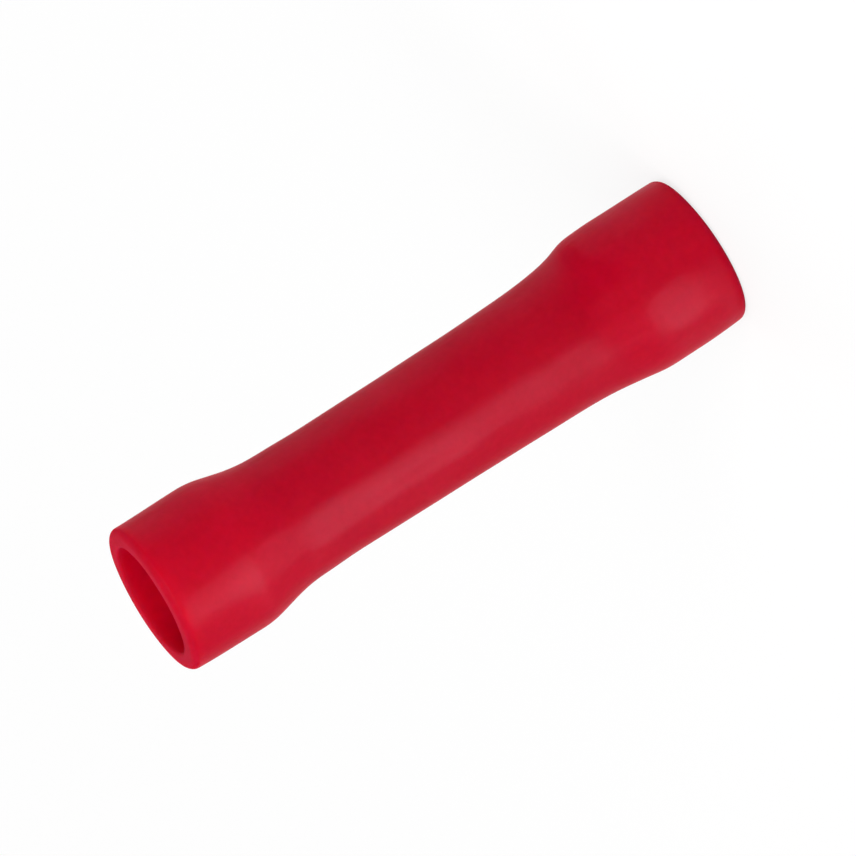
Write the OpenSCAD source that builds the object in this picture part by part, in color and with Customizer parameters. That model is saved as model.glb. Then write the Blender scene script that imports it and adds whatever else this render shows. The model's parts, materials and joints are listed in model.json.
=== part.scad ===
// Insulated butt splice connector: joins two stranded wires end to end.
// A tin-plated crimp barrel is held in the middle of a vinyl sleeve with a bell mouth at each end.
// It stands on its lower mouth: the origin is at the centre of that lip, and +Z runs along the bore.

/* [Sleeve] */
// Length of the sleeve from lip to lip
sleeve_length = 25; // [23:0.5:32]
// Inside diameter of the two mouths, which take the wires with their own insulation
mouth_bore = 4.5; // [4.2:0.1:5.5]
// Wall of the bells at their lips
bell_wall = 0.75; // [0.6:0.05:1]
// Rounding of the lips' outer edges
lip_outer_round = 0.3; // [0.1:0.05:0.35]
// Rounding of the lips' inner edges
lip_inner_round = 0.1; // [0.05:0.05:0.3]

/* [Upper end of the sleeve] */
// Wall of the waist where it meets the upper neck
upper_waist_wall = 0.82; // [0.6:0.02:1.1]
// Growth of the upper bell's diameter from its lip to its shoulder
upper_swell = 0.06; // [0:0.02:0.3]
// Reach of the upper shoulder beyond the barrel's upper end
upper_shoulder_lead = 1.4; // [0.8:0.1:2]
// Length of the upper neck, from the shoulder down to the waist
upper_neck_length = 2.25; // [1.5:0.05:4]
// Bend radius of the upper shoulder
upper_shoulder_round = 3.9; // [0.5:0.1:8]
// Bend radius where the upper neck runs into the waist
upper_root_round = 9; // [0.5:0.5:25]

/* [Lower end of the sleeve] */
// Wall of the waist where it meets the lower neck
lower_waist_wall = 0.9; // [0.6:0.02:1.1]
// Growth of the lower bell's diameter from its lip to its shoulder
lower_swell = 0.18; // [0:0.02:0.3]
// Reach of the lower shoulder beyond the barrel's lower end
lower_shoulder_lead = 1.45; // [0.8:0.05:2]
// Length of the lower neck, from the shoulder up to the waist
lower_neck_length = 3.1; // [1.5:0.05:4]
// Bend radius of the lower shoulder
lower_shoulder_round = 4.4; // [0.5:0.1:8]
// Bend radius where the lower neck runs into the waist
lower_root_round = 18; // [0.5:0.5:25]

/* [Inside of the sleeve] */
// Length of the two funnels, which lead a stripped wire from the mouth into the barrel
funnel_length = 1.3; // [0.8:0.1:2]
// Rounding at both ends of the funnels
funnel_round = 0.6; // [0.1:0.1:1]
// Reach of the barrel's seat beyond each end of the barrel
seat_overrun = 0.2; // [0.1:0.05:0.4]
// Clearance between the barrel and its seat, on the radius
seat_clearance = 0.01; // [0:0.01:0.05]

/* [Crimp barrel] */
// Length of the barrel
barrel_length = 15; // [12:0.5:17]
// Inside diameter of the barrel, which takes the stripped strands
wire_bore = 1.7; // [1.5:0.1:1.9]
// Wall of the barrel
barrel_wall = 0.8; // [0.6:0.05:0.9]
// Width and depth of the entry chamfers
entry_chamfer = 0.3; // [0.1:0.05:0.5]
// Rounding of the barrel's outer edges
end_round = 0.1; // [0.05:0.05:0.3]

/* [Wire stop] */
// Width of the rolled groove round the middle of the barrel
stop_width = 2.4; // [1.6:0.1:4]
// Depth of the rolled groove, which stands up as a bead inside
stop_depth = 0.45; // [0.2:0.05:0.6]
// Inside radius of the rolled bends
stop_bend = 0.4; // [0.1:0.1:0.8]

/* [Hidden] */

// Facets of a full turn, and of each rounded corner of an outline
turn_facets = 96;
arc_facets = 6;
// Least sine of the turn at a corner that is drawn as an arc
least_turn = 0.000001;

vinyl_red = [0.72, 0.04, 0.14];
tin_plate = [0.78, 0.78, 0.76];

// Radii of the barrel
wire_r = wire_bore / 2;
barrel_r = wire_r + barrel_wall;
stop_crest_r = wire_r - stop_depth;
stop_root_r = barrel_r - stop_depth;

// Radii of the sleeve
seat_r = barrel_r + seat_clearance;
mouth_r = mouth_bore / 2;
lip_r = mouth_r + bell_wall;
upper_shoulder_r = lip_r + upper_swell / 2;
lower_shoulder_r = lip_r + lower_swell / 2;
upper_waist_r = seat_r + upper_waist_wall;
lower_waist_r = seat_r + lower_waist_wall;

// Heights of the barrel, which lies midway between the lips
middle = sleeve_length / 2;
barrel_foot = middle - barrel_length / 2;
barrel_head = middle + barrel_length / 2;

// Heights of the upper end, from the barrel outwards
upper_seat_end = barrel_head + seat_overrun;
upper_funnel_end = upper_seat_end + funnel_length;
upper_shoulder = barrel_head + upper_shoulder_lead;
upper_root = upper_shoulder - upper_neck_length;

// Heights of the lower end, from the barrel outwards
lower_seat_end = barrel_foot - seat_overrun;
lower_funnel_end = lower_seat_end - funnel_length;
lower_shoulder = barrel_foot - lower_shoulder_lead;
lower_root = lower_shoulder + lower_neck_length;

// The rolled metal keeps its wall, so the bead inside is wider than the groove outside
groove_half = stop_width / 2;
stop_flank = atan2(stop_depth, groove_half);
bead_half = groove_half + barrel_wall * tan(stop_flank / 2);
stop_outer_bend = stop_bend + barrel_wall;

// Each corner is [radius, height, rounding], anticlockwise round the section
sleeve_section = [
    [mouth_r, 0, lip_inner_round],
    [lip_r, 0, lip_outer_round],
    [lower_shoulder_r, lower_shoulder, lower_shoulder_round],
    [lower_waist_r, lower_root, lower_root_round],
    [upper_waist_r, upper_root, upper_root_round],
    [upper_shoulder_r, upper_shoulder, upper_shoulder_round],
    [lip_r, sleeve_length, lip_outer_round],
    [mouth_r, sleeve_length, lip_inner_round],
    [mouth_r, upper_funnel_end, funnel_round],
    [seat_r, upper_seat_end, funnel_round],
    [seat_r, lower_seat_end, funnel_round],
    [mouth_r, lower_funnel_end, funnel_round],
];

barrel_section = [
    [wire_r + entry_chamfer, barrel_foot, 0],
    [barrel_r, barrel_foot, end_round],
    [barrel_r, middle - groove_half, stop_outer_bend],
    [stop_root_r, middle, stop_bend],
    [barrel_r, middle + groove_half, stop_outer_bend],
    [barrel_r, barrel_head, end_round],
    [wire_r + entry_chamfer, barrel_head, 0],
    [wire_r, barrel_head - entry_chamfer, 0],
    [wire_r, middle + bead_half, stop_bend],
    [stop_crest_r, middle, stop_outer_bend],
    [wire_r, middle - bead_half, stop_bend],
    [wire_r, barrel_foot + entry_chamfer, 0],
];

function place(corner) = [corner[0], corner[1]];

// One corner as an arc that touches both of its edges, which takes up at most half of each edge
function corner_arc(before, corner, after) =
    let (
        tip = place(corner),
        back = place(before) - tip,
        ahead = place(after) - tip,
        back_way = back / norm(back),
        ahead_way = ahead / norm(ahead)
    )
    corner[2] == 0 || norm(back_way + ahead_way) < least_turn
        ? [tip]
        : let (
            half = acos(back_way * ahead_way) / 2,
            reach = min(corner[2] / tan(half), norm(back) / 2, norm(ahead) / 2),
            bisector = (back_way + ahead_way) / norm(back_way + ahead_way),
            centre = tip + bisector * reach / cos(half),
            first = tip + back_way * reach - centre,
            last = tip + ahead_way * reach - centre,
            sweep = 180 - 2 * half
        )
        [
            for (i = [0 : arc_facets])
                let (along = sweep * i / arc_facets)
                centre + (first * sin(sweep - along) + last * sin(along)) / sin(sweep)
        ];

function rounded(section) =
    let (count = len(section))
    [
        for (i = [0 : count - 1])
            each corner_arc(section[(i + count - 1) % count], section[i], section[(i + 1) % count])
    ];

module turned(section) {
    rotate_extrude($fn = turn_facets)
        polygon(rounded(section));
}

module insulation_sleeve() {
    color(vinyl_red)
        turned(sleeve_section);
}

module crimp_barrel() {
    color(tin_plate)
        turned(barrel_section);
}

insulation_sleeve();
crimp_barrel();
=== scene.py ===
import json
import math

import bpy
import numpy as np
from mathutils import Euler, Matrix, Vector


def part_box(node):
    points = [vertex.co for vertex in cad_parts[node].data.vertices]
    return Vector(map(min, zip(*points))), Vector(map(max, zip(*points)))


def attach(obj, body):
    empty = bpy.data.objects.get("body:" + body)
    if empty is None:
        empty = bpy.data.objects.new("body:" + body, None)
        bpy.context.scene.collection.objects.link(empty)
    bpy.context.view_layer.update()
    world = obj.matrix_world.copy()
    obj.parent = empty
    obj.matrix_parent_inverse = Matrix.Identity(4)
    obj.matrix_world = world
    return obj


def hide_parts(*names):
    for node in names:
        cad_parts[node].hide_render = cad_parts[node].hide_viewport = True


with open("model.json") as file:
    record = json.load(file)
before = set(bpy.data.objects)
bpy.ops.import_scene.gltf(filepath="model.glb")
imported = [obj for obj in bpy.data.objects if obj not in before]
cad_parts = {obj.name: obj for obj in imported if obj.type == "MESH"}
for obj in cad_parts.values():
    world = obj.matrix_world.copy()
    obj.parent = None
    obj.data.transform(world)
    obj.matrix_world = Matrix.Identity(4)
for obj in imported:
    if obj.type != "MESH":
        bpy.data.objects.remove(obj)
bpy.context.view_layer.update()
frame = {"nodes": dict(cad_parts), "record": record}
mm = 0.001                                   # sections and places below are in millimetres
mountSizes = {mount["name"]: mount["dims"] for mount in frame["record"]["mounts"]}
print("frame loaded:", ", ".join(sorted(frame["nodes"])))


# Sockets and meshes

class Wire:
    # a shader socket that plain sums and products can be written with
    def __init__(self, tree, socket=None):
        self.tree = tree
        self.socket = socket

    def node(self, kind, settings=None, inputs=None, output=0):
        # any node: settings first, then the values or wires of its sockets
        made = self.tree.nodes.new(kind)
        for name, value in (settings or {}).items():
            setattr(made, name, value)
        for name, value in (inputs or {}).items():
            self.feed(made.inputs[name], value)
        return Wire(self.tree, made.outputs[output])

    def feed(self, socket, value):
        if isinstance(value, Wire):
            self.tree.links.new(value.socket, socket)
        else:
            socket.default_value = value

    def maths(self, operation, first, second):
        return self.node("ShaderNodeMath", {"operation": operation}, {0: first, 1: second})

    def __add__(self, other):
        return self.maths("ADD", self, other)

    def __radd__(self, other):
        return self.maths("ADD", other, self)

    def __sub__(self, other):
        return self.maths("SUBTRACT", self, other)

    def __rsub__(self, other):
        return self.maths("SUBTRACT", other, self)

    def __mul__(self, other):
        return self.maths("MULTIPLY", self, other)

    def __rmul__(self, other):
        return self.maths("MULTIPLY", other, self)

    def __abs__(self):
        return self.node("ShaderNodeMath", {"operation": "ABSOLUTE"}, {0: self})

    def atLeast(self, other):
        return self.maths("MAXIMUM", self, other)

    def parts(self, axes):
        # the numbers of a vector along the named axes
        return [self.node("ShaderNodeSeparateXYZ", None, {0: self}, axis) for axis in axes]

    def scaled(self, factor):
        # a colour or vector, made brighter or darker by a number
        return self.node("ShaderNodeVectorMath", {"operation": "SCALE"}, {0: self, "Scale": factor})

    def mixed(self, first, second):
        # colour that goes from first to second as this value goes from 0 to 1
        return self.node("ShaderNodeMix", {"data_type": "RGBA"}, {0: self, 6: first, 7: second}, 2)

    def ramped(self, low, high):
        # 0 below low and 1 above high, with a smooth step between
        return self.node("ShaderNodeMapRange", {"interpolation_type": "SMOOTHSTEP"},
                         {"Value": self, "From Min": low, "From Max": high})


def newMaterial(name):
    material = bpy.data.materials.new(name)
    material.use_nodes = True
    return material, Wire(material.node_tree), material.node_tree.nodes["Principled BSDF"]


noiseMiddle = 0.5    # the value that a noise texture varies about
fineDetail = 2.0


def fineNoise(place, scale, stretch=None):
    # fine grain, drawn out along an axis where its part of stretch is below 1
    if stretch:
        place = place.node("ShaderNodeMapping", None, {"Vector": place, "Scale": stretch})
    return place.node("ShaderNodeTexNoise", None,
                      {"Vector": place, "Scale": scale, "Detail": fineDetail})


def roundedSection(corners, arcSteps, edgeSteps):
    # closed outline through corners (radius, height, rounding): each corner is an arc that touches
    # both edges and takes at most half of each, and each edge between two arcs is split evenly
    tip, rounding = corners[:, :2], corners[:, 2:]
    back = np.roll(tip, 1, axis=0) - tip
    ahead = np.roll(tip, -1, axis=0) - tip
    backLength = np.linalg.norm(back, axis=1, keepdims=True)
    aheadLength = np.linalg.norm(ahead, axis=1, keepdims=True)
    back, ahead = back / backLength, ahead / aheadLength
    half = np.arccos(np.sum(back * ahead, axis=1, keepdims=True)) / 2
    reach = np.minimum(rounding / np.tan(half), np.minimum(backLength, aheadLength) / 2)
    bisector = (back + ahead) / np.linalg.norm(back + ahead, axis=1, keepdims=True)
    centre = tip + bisector * reach / np.cos(half)
    first, last = tip + back * reach - centre, tip + ahead * reach - centre
    sweep = (math.pi - 2 * half)[..., None]
    along = np.linspace(0, 1, arcSteps + 1)[None, :, None] * sweep
    arcs = first[:, None] * np.sin(sweep - along) + last[:, None] * np.sin(along)
    arcs = centre[:, None] + arcs / np.sin(sweep)
    share = np.linspace(0, 1, edgeSteps + 1)[None, 1:-1, None]
    edges = arcs[:, -1:] * (1 - share) + np.roll(arcs[:, :1], -1, axis=0) * share
    return np.concatenate([arcs, edges], axis=1).reshape(-1, 2)


def turnedGrid(section, angles):
    # point (i, j) is section point j turned by angle i about the bore, in millimetres
    radius, height = section[:, 0], section[:, 1]
    return np.stack([np.outer(np.cos(angles), radius),
                     np.outer(np.sin(angles), radius),
                     np.tile(height, (len(angles), 1))], axis=-1)


def ringMesh(name, grid):
    # quads over a grid that closes on itself both ways, wound so that they face outwards
    turns, count = grid.shape[:2]
    index = np.arange(turns * count).reshape(turns, count)
    onward = np.roll(index, -1, axis=0)
    quads = np.stack([index, onward,
                      np.roll(onward, -1, axis=1), np.roll(index, -1, axis=1)], axis=-1)
    mesh = bpy.data.meshes.new(name)
    mesh.from_pydata((grid * mm).reshape(-1, 3).tolist(), [], quads.reshape(-1, 4).tolist())
    mesh.polygons.foreach_set("use_smooth", np.ones(len(mesh.polygons), dtype=bool))
    mesh.update()
    piece = bpy.data.objects.new(name, mesh)
    bpy.context.scene.collection.objects.link(piece)
    return piece


# The sleeve's own lie

lie = {
    "bow": 0.13,           # the middle stands this far towards -X
    "headSlant": 0.032,    # the upper lip drops this much for each millimetre towards +X
    "footSlant": 0.016,    # and the lower lip rises this much
    "cutDepth": 1.2,       # each slant fades over this depth from its lip
    "waveHeight": 0.004,   # faint unevenness of the outside: each wave's height,
    # and its turns round the bore, its rate for each millimetre along it, and its start
    "waves": ((2, 0.9, 0.4), (3, -1.7, 2.1), (5, 1.3, 4.0), (7, -0.6, 5.2)),
    # places that bulge slightly, or sink where the rise is below nought:
    # bearing from +X in degrees, height, reach along the bore, rise, narrowness
    "bulges": ((180, 1.0, 1.8, 0.06, 1), (0, 1.0, 1.8, 0.02, 1), (0, 4.45, 0.6, 0.1, 4),
               (180, 7.7, 1.6, 0.08, 1), (180, 11.0, 2.0, 0.025, 1), (180, 18.4, 0.8, 0.055, 2),
               (0, 18.2, 0.9, 0.04, 2), (180, 23.5, 2.0, 0.03, 1), (0, 23.5, 2.0, -0.02, 1)),
}
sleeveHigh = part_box("insulation_sleeve")[1]
barrelLow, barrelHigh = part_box("crimp_barrel")
sleeveLength = sleeveHigh.z / mm
barrelFoot, barrelHead = barrelLow.z / mm, barrelHigh.z / mm
middle = sleeveLength / 2


def bowed(grid):
    # moves each point across by a parabola that is nought at both lips
    share = (grid[..., 2] - middle) / middle
    grid[..., 0] -= lie["bow"] * (1 - share ** 2)
    return grid


def waved(grid, inner, outer):
    # moves each point out by a sum of sines of its angle and height, and by each bulge, which is
    # a raised cosine of the angle times a bell curve of the height; all of it grows from nought
    # at the inner radius to its full height at the outer one
    radius = np.hypot(grid[..., 0], grid[..., 1])
    angle = np.arctan2(grid[..., 1], grid[..., 0])
    height = grid[..., 2]
    lift = lie["waveHeight"] * sum(np.sin(turns * angle + rate * height + start)
                                   for turns, rate, start in lie["waves"])
    for bearing, top, reach, rise, narrowness in lie["bulges"]:
        lobe = (0.5 + np.cos(angle - math.radians(bearing)) / 2) ** narrowness
        lift += rise * lobe * np.exp(-((height - top) / reach) ** 2)
    share = np.clip((radius - inner) / (outer - inner), 0, 1)
    grid[..., :2] *= (1 + lift * share / radius)[..., None]
    return grid


# Vinyl sleeve

sleeve = {
    "bellWall": 0.75,
    "upperWaistWall": 0.82, "lowerWaistWall": 0.9,
    "upperSwell": 0.06, "lowerSwell": 0.18,
    "upperShoulderLead": 1.4, "lowerShoulderLead": 1.45,
    "upperNeck": 2.25, "lowerNeck": 3.1,
    "upperShoulderRound": 3.9, "lowerShoulderRound": 4.4,
    "upperRootRound": 9.0, "lowerRootRound": 18.0,
    "lipOuterRound": 0.3, "lipInnerRound": 0.1,
    "funnel": 1.3, "funnelRound": 0.6, "seatOverrun": 0.2, "seatClearance": 0.01,
    "arcSteps": 8, "edgeSteps": 20, "turns": 256,
}
# the barrel's values stand here because the sleeve fits round it
barrel = {
    "wall": 0.8,
    "chamfer": 0.3, "chamferRound": 0.05, "endRound": 0.1,
    "stopWidth": 2.4, "stopDepth": 0.45, "stopBend": 0.4,
    "seamDepth": 0.05, "seamWidth": 0.05, "seamAngle": math.radians(70), "seamCrowding": 0.9,
    "arcSteps": 7, "edgeSteps": 9, "turns": 320,
}
mouthRadius = mountSizes["upper_mouth"]["r_mm"]
lipRadius = mouthRadius + sleeve["bellWall"]
wireRadius = mountSizes["upper_wire_bore"]["r_mm"]
barrelRadius = wireRadius + barrel["wall"]


def vinylSleeve():
    # two bells, two necks and a waist on the outside; two mouths, two funnels and a seat inside
    seat = barrelRadius + sleeve["seatClearance"]
    upperSeat = barrelHead + sleeve["seatOverrun"]
    lowerSeat = barrelFoot - sleeve["seatOverrun"]
    upperShoulder = barrelHead + sleeve["upperShoulderLead"]
    lowerShoulder = barrelFoot - sleeve["lowerShoulderLead"]
    corners = np.array([
        (mouthRadius, 0, sleeve["lipInnerRound"]),
        (lipRadius, 0, sleeve["lipOuterRound"]),
        (lipRadius + sleeve["lowerSwell"] / 2, lowerShoulder, sleeve["lowerShoulderRound"]),
        (seat + sleeve["lowerWaistWall"], lowerShoulder + sleeve["lowerNeck"], sleeve["lowerRootRound"]),
        (seat + sleeve["upperWaistWall"], upperShoulder - sleeve["upperNeck"], sleeve["upperRootRound"]),
        (lipRadius + sleeve["upperSwell"] / 2, upperShoulder, sleeve["upperShoulderRound"]),
        (lipRadius, sleeveLength, sleeve["lipOuterRound"]),
        (mouthRadius, sleeveLength, sleeve["lipInnerRound"]),
        (mouthRadius, upperSeat + sleeve["funnel"], sleeve["funnelRound"]),
        (seat, upperSeat, sleeve["funnelRound"]),
        (seat, lowerSeat, sleeve["funnelRound"]),
        (mouthRadius, lowerSeat - sleeve["funnel"], sleeve["funnelRound"]),
    ])
    section = roundedSection(corners, sleeve["arcSteps"], sleeve["edgeSteps"])
    angles = np.linspace(0, 2 * math.pi, sleeve["turns"], endpoint=False)
    grid = waved(turnedGrid(section, angles), mouthRadius, seat + sleeve["upperWaistWall"])
    # the slanted cuts: both lips keep their height at -X
    aside = np.maximum(lipRadius + grid[..., 0], 0)
    headFade = np.exp((grid[..., 2] - sleeveLength) / lie["cutDepth"])
    footFade = np.exp(-grid[..., 2] / lie["cutDepth"])
    grid[..., 2] += aside * (lie["footSlant"] * footFade - lie["headSlant"] * headFade)
    return ringMesh("vinyl_sleeve", bowed(grid))


vinyl = {
    "bell": (0.395, 0.0006, 0.0140, 1),     # where the sleeve is hollow
    "waist": (0.363, 0.0005, 0.0126, 1),    # painted shade: darker over the metal barrel, where less light comes through the vinyl
    "lip": (0.355, 0.0043, 0.0195, 1),      # painted highlight: paler and pinker on the cut lips
    "toneFade": (5.6, 8.0),                 # where the waist's painted shade fades into the bell, in millimetres from the middle
    "clouds": 420, "cloudDetail": 3.0, "cloudRoughness": 0.55,
    "cloudDepth": 0.08, "fleckDepth": 0.13,
    "drawLines": 2600, "lineStretch": 0.02, "peel": 3800,
    "coat": 0.09, "coatSpread": 1.4, "coatRoughness": 0.22,    # the gloss of the moulded skin
    "specular": 0.01, "roughness": 0.45, "roughnessSpread": 0.2,
    "grainShares": (0.4, 0.3, 0.3),         # of clouds, draw lines and peel in the gloss
    "cutDullness": 1.0, "cutRoughness": 0.7, "cutMarks": 6000, "markStretch": 0.04,
    "cutFade": (-0.30, -0.12),              # from skin to cut, in millimetres above the cut
    "bumpDepth": 0.000012, "bumpStrength": 1.0,
    "bumpShares": (0.5, 0.5),               # of draw lines and peel in the relief
    "scatter": 1.0, "scatterReach": (0.0025, 0.0004, 0.0004),
}


def vinylMaterial():
    # satin vinyl that lets light in: clouds of pigment, a thin gloss in fine draw lines along
    # the bore, a shallow orange peel, duller cut ends with straight knife marks and a painted highlight,
    # and painted shade on the waist
    material, start, surface = newMaterial("satin_vinyl")
    place = start.node("ShaderNodeTexCoord", output="Object")
    across, height = place.parts("XZ")
    clouds = start.node("ShaderNodeTexNoise", None, {
        "Vector": place, "Scale": vinyl["clouds"],
        "Detail": vinyl["cloudDetail"], "Roughness": vinyl["cloudRoughness"]})
    lines = fineNoise(place, vinyl["drawLines"], (1, 1, vinyl["lineStretch"]))
    peel = fineNoise(place, vinyl["peel"])
    marks = fineNoise(place, vinyl["cutMarks"], (1, vinyl["markStretch"], 1))
    # how far a point lies above the upper cut or below the lower one, so nought on the lips
    aside = across + lipRadius * mm
    aboveCut = height - sleeveLength * mm + aside * lie["headSlant"]
    belowCut = aside * lie["footSlant"] - height
    cut = aboveCut.atLeast(belowCut).ramped(*(edge * mm for edge in vinyl["cutFade"]))
    hollow = abs(height - middle * mm).ramped(*(edge * mm for edge in vinyl["toneFade"]))
    # the bell's own tone, with painted shade over the waist and a painted highlight on the cut lips
    tone = cut.mixed(hollow.mixed(vinyl["waist"], vinyl["bell"]), vinyl["lip"])
    cloudy = (clouds - noiseMiddle) * (2 * vinyl["cloudDepth"])
    flecked = (peel - noiseMiddle) * (2 * vinyl["fleckDepth"])
    start.feed(surface.inputs["Base Color"], tone.scaled(1.0 + cloudy + flecked))
    cloudShare, lineShare, peelShare = vinyl["grainShares"]
    grain = clouds * cloudShare + lines * lineShare + peel * peelShare - noiseMiddle
    dull = vinyl["roughness"] + grain * vinyl["roughnessSpread"]
    start.feed(surface.inputs["Roughness"], dull + cut * (vinyl["cutRoughness"] - dull))
    gloss = vinyl["coat"] * (1.0 + grain * (2 * vinyl["coatSpread"]))
    start.feed(surface.inputs["Coat Weight"], gloss * (1.0 - cut * vinyl["cutDullness"]))
    lineBump, peelBump = vinyl["bumpShares"]
    relief = start.node("ShaderNodeBump", None, {
        "Height": lines * lineBump + peel * peelBump + cut * (marks - noiseMiddle),
        "Strength": vinyl["bumpStrength"], "Distance": vinyl["bumpDepth"]})
    start.feed(surface.inputs["Normal"], relief)
    surface.inputs["Coat Roughness"].default_value = vinyl["coatRoughness"]
    surface.inputs["Specular IOR Level"].default_value = vinyl["specular"]
    surface.inputs["Subsurface Weight"].default_value = vinyl["scatter"]
    surface.inputs["Subsurface Radius"].default_value = vinyl["scatterReach"]
    surface.inputs["Subsurface Scale"].default_value = 1.0    # the reach is in metres already
    return material


sleevePiece = vinylSleeve()
sleevePiece.data.materials.append(vinylMaterial())
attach(sleevePiece, "root")
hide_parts("insulation_sleeve")
print("sleeve made:", len(sleevePiece.data.polygons), "quads")


# Crimp barrel

def crimpBarrel():
    # a tube with chamfered entries, a rolled stop ring, and the butt seam of the rolled strip
    root = barrel["stopBend"]
    crest = root + barrel["wall"]
    grooveHalf = barrel["stopWidth"] / 2
    flank = math.atan2(barrel["stopDepth"], grooveHalf)
    beadHalf = grooveHalf + barrel["wall"] * math.tan(flank / 2)
    entry, edge = wireRadius + barrel["chamfer"], barrel["chamferRound"]
    corners = np.array([
        (entry, barrelFoot, edge),
        (barrelRadius, barrelFoot, barrel["endRound"]),
        (barrelRadius, middle - grooveHalf, crest),
        (barrelRadius - barrel["stopDepth"], middle, root),
        (barrelRadius, middle + grooveHalf, crest),
        (barrelRadius, barrelHead, barrel["endRound"]),
        (entry, barrelHead, edge),
        (wireRadius, barrelHead - barrel["chamfer"], edge),
        (wireRadius, middle + beadHalf, root),
        (wireRadius - barrel["stopDepth"], middle, crest),
        (wireRadius, middle - beadHalf, root),
        (wireRadius, barrelFoot + barrel["chamfer"], edge),
    ])
    section = roundedSection(corners, barrel["arcSteps"], barrel["edgeSteps"])
    # angles crowd together at the seam: u - c sin(2 pi u) / (2 pi), over one turn
    u = np.linspace(0, 1, barrel["turns"], endpoint=False)
    turn = 2 * math.pi * u - barrel["seamCrowding"] * np.sin(2 * math.pi * u)
    grid = turnedGrid(section, turn + barrel["seamAngle"])
    # the seam is a bell-shaped crease in the angle, as wide at every radius, inside and out
    offset = np.minimum(turn, 2 * math.pi - turn)[:, None] * section[None, :, 0]
    crease = barrel["seamDepth"] * np.exp(-(offset / barrel["seamWidth"]) ** 2)
    centre = section.mean(axis=0)[0]
    inward = np.sign(section[None, :, 0] - centre)
    scale = 1 - inward * crease / section[None, :, 0]
    grid[..., :2] *= scale[..., None]
    return ringMesh("tinned_barrel", bowed(grid))


tin = {
    "bright": (0.80, 0.79, 0.76, 1), "dull": (0.62, 0.61, 0.58, 1),
    "spangle": 900, "spangleSoftness": 0.6, "drawLines": 4000, "lineStretch": 0.03,
    "patchShares": (0.7, 0.3),    # of spangle and draw lines in the patches
    "patchFade": (0.15, 0.65),    # from bright to dull
    "roughness": 0.26, "roughnessSpread": 0.16,
    "bumpDepth": 0.000006, "bumpStrength": 0.3,
}


def tinMaterial():
    # tin plate: soft crystal patches in tone and gloss, and fine draw lines along the bore
    material, start, surface = newMaterial("tin_plate")
    place = start.node("ShaderNodeTexCoord", output="Object")
    spangle = start.node("ShaderNodeTexVoronoi", {"feature": "SMOOTH_F1"},
                         {"Vector": place, "Scale": tin["spangle"],
                          "Smoothness": tin["spangleSoftness"]})
    lines = fineNoise(place, tin["drawLines"], (1, 1, tin["lineStretch"]))
    spangleShare, lineShare = tin["patchShares"]
    patch = (spangle * spangleShare + lines * lineShare).ramped(*tin["patchFade"])
    start.feed(surface.inputs["Base Color"], patch.mixed(tin["bright"], tin["dull"]))
    start.feed(surface.inputs["Roughness"], tin["roughness"] + patch * tin["roughnessSpread"])
    relief = start.node("ShaderNodeBump", None, {
        "Height": lines, "Strength": tin["bumpStrength"], "Distance": tin["bumpDepth"]})
    start.feed(surface.inputs["Normal"], relief)
    surface.inputs["Metallic"].default_value = 1.0
    return material


barrelPiece = crimpBarrel()
barrelPiece.data.materials.append(tinMaterial())
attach(barrelPiece, "root")
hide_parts("crimp_barrel")
print("barrel made:", len(barrelPiece.data.polygons), "quads")


# Floor, light and camera

studio = {
    "floorHalf": 2.0, "floorDrop": 0.00002,    # metres
    "floorTone": (0.96, 0.96, 0.96, 1), "floorRoughness": 0.9,
    "paper": (1, 1, 1, 1), "paperShare": 0.8,    # share of plain white that the eye sees on the floor
    "skyTone": (1, 1, 1, 1), "skyGlow": 0.27,
    # each lamp: bearing from the camera's side towards -X and rise from the middle of the connector,
    # in degrees, then distance and size in metres, and glow
    "lamps": {
        "front": {"bearing": 10, "rise": 33, "distance": 0.5, "size": (0.5, 0.4), "glow": 4.15},
        "right": {"bearing": 75, "rise": 25, "distance": 0.5, "size": (0.4, 0.4), "glow": 0.8},
        "top": {"bearing": 180, "rise": 78, "distance": 0.45, "size": (0.5, 0.5), "glow": 0.55},
        "back": {"bearing": 190, "rise": 30, "distance": 0.5, "size": (0.5, 0.3), "glow": 1.8},
    },
}
# square panels on the floor that only gloss sees, in rows that go away from the connector
sheen = {
    "rows": ((46, 1.0), (80, 0.2), (-95, 0.12)),    # each row's bearing and its share of the glow
    "glows": (1.7, 5.7, 3.1, 7.5),                  # from the nearest panel to the furthest
    "nearest": 0.0063,                              # metres to the middle of the nearest panel
    "growth": 2.44,                                 # the next one is this many times as far
    "sideShare": 0.84,                              # each panel's side for its distance
    "lift": 0.0001,                                 # metres above the connector's foot
    "tone": (1.8, 1.0, 1.3),
}
aim = Vector((0, 0, middle * mm))


def plainFloor():
    half = studio["floorHalf"]
    mesh = bpy.data.meshes.new("floor")
    corners = np.array([(-half, -half), (half, -half), (half, half), (-half, half)])
    points = np.column_stack([corners, np.full(4, -studio["floorDrop"])])
    mesh.from_pydata(points.tolist(), [], [(0, 1, 2, 3)])
    floor = bpy.data.objects.new("floor", mesh)
    bpy.context.scene.collection.objects.link(floor)
    material, start, surface = newMaterial("pale_floor")
    surface.inputs["Base Color"].default_value = studio["floorTone"]
    surface.inputs["Roughness"].default_value = studio["floorRoughness"]
    surface.inputs["Specular IOR Level"].default_value = 0.0
    # seen straight or in a reflection, the floor is part plain white, and the rest keeps the shadow
    seen = start.node("ShaderNodeLightPath", output="Is Camera Ray")
    for ray in ("Is Glossy Ray", "Is Transmission Ray"):
        seen = seen.atLeast(start.node("ShaderNodeLightPath", output=ray))
    white = start.node("ShaderNodeEmission", None, {"Color": studio["paper"]})
    shared = start.node("ShaderNodeMixShader", None, {
        0: seen * studio["paperShare"], 1: Wire(start.tree, surface.outputs[0]), 2: white})
    start.feed(material.node_tree.nodes["Material Output"].inputs["Surface"], shared)
    mesh.materials.append(material)


def outward(bearing, rise):
    # the direction at a bearing from the camera's side towards -X, raised from the level
    bearing, rise = math.radians(bearing), math.radians(rise)
    level = math.cos(rise)
    return Vector((-math.sin(bearing) * level, -math.cos(bearing) * level, math.sin(rise)))


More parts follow.
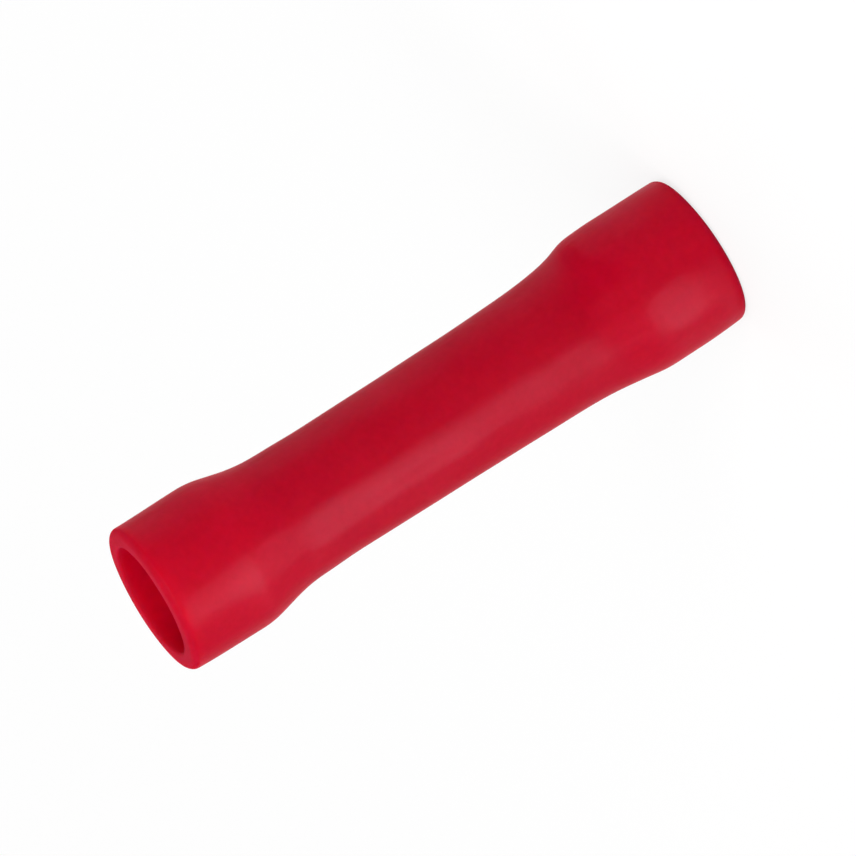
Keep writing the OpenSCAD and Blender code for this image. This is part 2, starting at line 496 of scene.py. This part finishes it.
def softPanel(name, place, turn, size, glow, tone=(1, 1, 1)):
    # an area lamp that the camera doesn't see; its power is glow times pi times its area
    light = bpy.data.lights.new(name, "AREA")
    light.shape = "RECTANGLE"
    light.size, light.size_y = size
    light.energy = glow * math.pi * light.size * light.size_y
    light.color = tone
    panel = bpy.data.objects.new(name, light)
    panel.location = place
    panel.rotation_mode = "QUATERNION"
    panel.rotation_quaternion = turn
    panel.visible_camera = False
    bpy.context.scene.collection.objects.link(panel)
    return panel


def studioLamp(name, lamp):
    # faces the middle of the connector
    out = outward(lamp["bearing"], lamp["rise"])
    turn = (-out).to_track_quat("-Z", "Y")
    softPanel(name, aim + out * lamp["distance"], turn, lamp["size"], lamp["glow"])


def sheenRow(bearing, share):
    # panels face up, and each is as wide for its distance as the last
    turn = Euler((math.pi, 0, -math.radians(bearing))).to_quaternion()
    for step, glow in enumerate(sheen["glows"]):
        distance = sheen["nearest"] * sheen["growth"] ** step
        side = distance * sheen["sideShare"]
        place = outward(bearing, 0) * distance + Vector((0, 0, sheen["lift"]))
        panel = softPanel("sheen", place, turn, (side, side), glow * share, sheen["tone"])
        panel.visible_diffuse = False


def paleSky():
    world = bpy.data.worlds.new("sky")
    world.use_nodes = True
    back = world.node_tree.nodes["Background"]
    back.inputs["Color"].default_value = studio["skyTone"]
    back.inputs["Strength"].default_value = studio["skyGlow"]
    bpy.context.scene.world = world


eye = {
    "elevation": 13.1, "distance": 630.0,     # degrees, millimetres
    "pictureTurn": 122.8,                     # degrees that the picture is turned anticlockwise
    "frameWidth": 31.67,                      # millimetres across the picture, at the connector
    "pictureSide": 856,                       # pixels
    "centrePixel": (425.79, 423.74),          # column and row of the connector's middle
    "sensor": 36.0,                           # millimetres
}


def photoCamera():
    # looks at the middle of the connector from -Y, and is turned about its own line of sight
    rise, turn = math.radians(eye["elevation"]), math.radians(eye["pictureTurn"])
    back = Vector((0, -math.cos(rise), math.sin(rise)))
    plainRight, plainUp = Vector((1, 0, 0)), Vector((0, math.sin(rise), math.cos(rise)))
    right = plainRight * math.cos(turn) - plainUp * math.sin(turn)
    up = plainRight * math.sin(turn) + plainUp * math.cos(turn)
    pixel = eye["frameWidth"] / eye["pictureSide"]
    halfSide = eye["pictureSide"] / 2
    column, row = eye["centrePixel"]
    aside = right * (halfSide - column) * pixel - up * (halfSide - row) * pixel
    data = bpy.data.cameras.new("camera")
    data.sensor_width = eye["sensor"]
    data.lens = eye["sensor"] * eye["distance"] / eye["frameWidth"]
    camera = bpy.data.objects.new("camera", data)
    turned = Matrix((right, up, back)).transposed().to_4x4()
    turned.translation = aim + (back * eye["distance"] + aside) * mm
    camera.matrix_world = turned
    bpy.context.scene.collection.objects.link(camera)
    bpy.context.scene.camera = camera


plainFloor()
paleSky()
for lampName, lampValues in studio["lamps"].items():
    studioLamp(lampName, lampValues)
for rowBearing, rowShare in sheen["rows"]:
    sheenRow(rowBearing, rowShare)
photoCamera()
bpy.context.scene.view_settings.view_transform = "Standard"
print("studio set:", ", ".join(studio["lamps"]))
